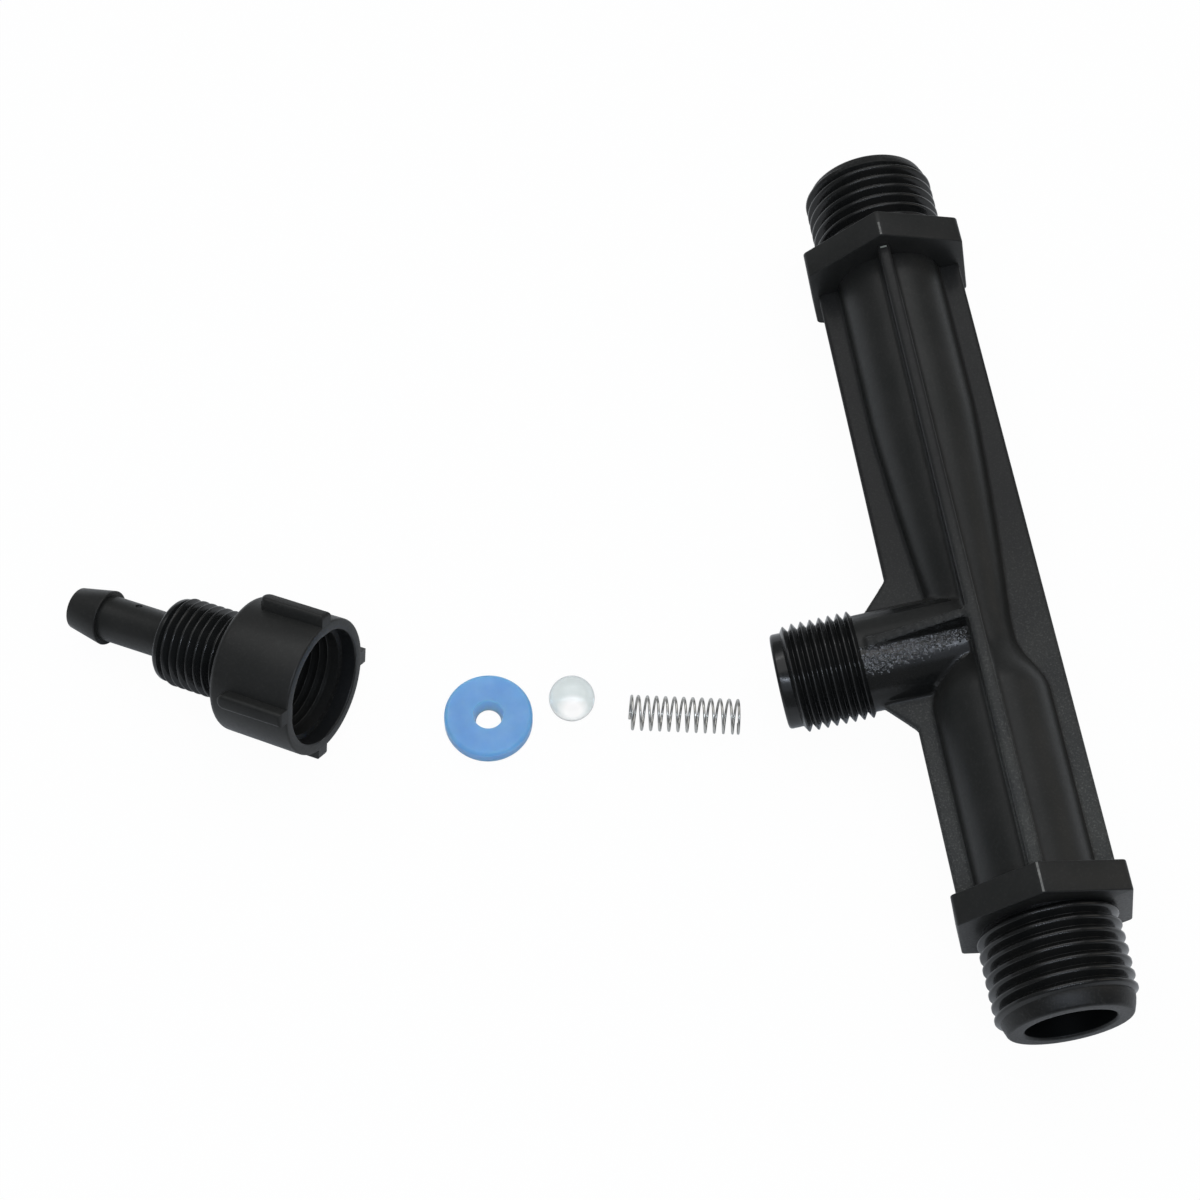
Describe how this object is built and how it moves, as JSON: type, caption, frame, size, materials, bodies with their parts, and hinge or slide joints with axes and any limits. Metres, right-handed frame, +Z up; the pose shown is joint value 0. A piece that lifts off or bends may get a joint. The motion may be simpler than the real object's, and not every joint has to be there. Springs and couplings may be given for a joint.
{
  "type": "venturi fertilizer injector",
  "caption": "Venturi fertilizer injector taken apart: black threaded tee body with its valve spring, check ball, blue seal washer and suction connector laid out in line.",
  "frame": {"origin": "on the table, at the middle of the whole layout", "axes": "+Z up from the table; +Y along the tee's bore, from the inlet to the outlet; -X the way the suction port points, with the loose pieces in a row beyond it"},
  "size_m": [0.1498, 0.1448, 0.0281],
  "materials": {
    "black_polypropylene": "satin",
    "spring_steel": "bright",
    "clear_glass": "polished",
    "blue_silicone": "satin"
  },
  "bodies": {
    "root": {"injector_body": "black_polypropylene", "valve_spring": "spring_steel", "check_ball": "clear_glass", "seal_washer": "blue_silicone", "suction_connector": "black_polypropylene"}
  },
  "joints": []
}
